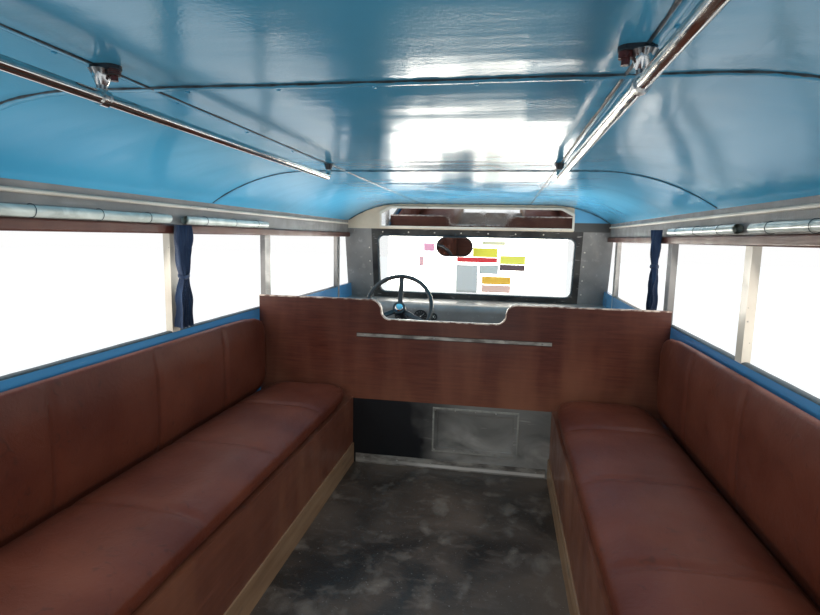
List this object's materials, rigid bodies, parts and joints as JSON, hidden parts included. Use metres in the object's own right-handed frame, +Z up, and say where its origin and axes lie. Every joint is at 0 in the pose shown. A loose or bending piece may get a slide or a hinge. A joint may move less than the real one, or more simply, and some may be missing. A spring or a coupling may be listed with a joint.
{
  "type": "share taxi cabin body",
  "caption": "Open-sided cabin body with facing benches, crowned roof lined inside, grab rails, low partition and driver's cab, for bolting to a light chassis.",
  "frame": {"origin": "under the middle of the body, on the plane the underframe runners stand on", "axes": "+Y forward to the windscreen, +X to the right of the driver, +Z up"},
  "size_m": [1.962, 4.7, 1.45],
  "materials": {
    "ceiling_paint": "gloss",
    "body_paint": "gloss",
    "cream_paint": "satin",
    "grey_paint": "satin",
    "dark_steel": "worn satin",
    "maroon_board": "varnished",
    "brown_vinyl": "satin",
    "floor_rubber": "worn",
    "chrome": "polished",
    "aluminium": "worn",
    "window_glass": "clear",
    "mirror_plate": "polished",
    "black_plastic": "satin",
    "curtain_cloth": "gathered cloth",
    "clear_vinyl": "clear, rolled",
    "deck_ply": "painted plywood"
  },
  "bodies": {
    "cabin": {"underframe_runners": "dark_steel", "floor_bearers": "dark_steel", "floor_panel": "deck_ply", "floor_mat": "floor_rubber", "rear_step": "aluminium", "wheel_boxes": "dark_steel", "side_panels": "body_paint", "arch_panels": "body_paint", "window_pillars": "cream_paint", "cab_posts": "grey_paint", "cant_rails": "grey_paint", "window_heads": "maroon_board", "ceiling_mouldings": "cream_paint", "rear_panels": "body_paint", "roof_centre": "body_paint", "roof_shoulders": "body_paint", "ceiling_centre": "ceiling_paint", "ceiling_sides": "ceiling_paint", "front_header": "cream_paint", "rear_header": "body_paint", "grab_rails": "chrome", "rail_posts": "chrome", "benches": "maroon_board", "bench_cushions": "brown_vinyl", "bench_backrests": "brown_vinyl", "partition_board": "maroon_board", "partition_lower": "dark_steel", "partition_trim": "aluminium", "front_bulkhead": "body_paint", "dashboard": "grey_paint", "windscreen_frame": "dark_steel", "windscreen_glass": "window_glass", "corner_panels": "grey_paint", "panoramic_mirror": "cream_paint", "oval_mirror": "black_plastic", "mirror_glasses": "mirror_plate", "steering_column": "dark_steel", "seat_boxes": "dark_steel", "driver_seat": "brown_vinyl", "passenger_seat": "brown_vinyl", "gearbox_tunnel": "floor_rubber", "gear_lever": "black_plastic", "door_hinges": "dark_steel", "entry_handles": "chrome", "tied_curtains": "curtain_cloth", "rolled_curtains": "clear_vinyl", "bench_plinths": "deck_ply", "instruments": "black_plastic", "pedals": "dark_steel"},
    "steering": {"steering_wheel": "black_plastic"},
    "left_door": {"cab_door_left": "body_paint"},
    "right_door": {"cab_door_right": "body_paint"}
  },
  "joints": [
    {"name": "steering_turn", "type": "hinge", "parent": "cabin", "child": "steering", "pos_m": [-0.4, 1.5, 0.76], "axis": [0, -0.891, 0.454], "range_deg": [-540, 540]},
    {"name": "right_door_swing", "type": "hinge", "parent": "cabin", "child": "right_door", "pos_m": [0.954, 1.915, 0.485], "axis": [0, 0, 1], "range_deg": [0, 70]},
    {"name": "left_door_swing", "type": "hinge", "parent": "cabin", "child": "left_door", "pos_m": [-0.954, 1.915, 0.485], "axis": [0, 0, -1], "range_deg": [0, 70]}
  ]
}
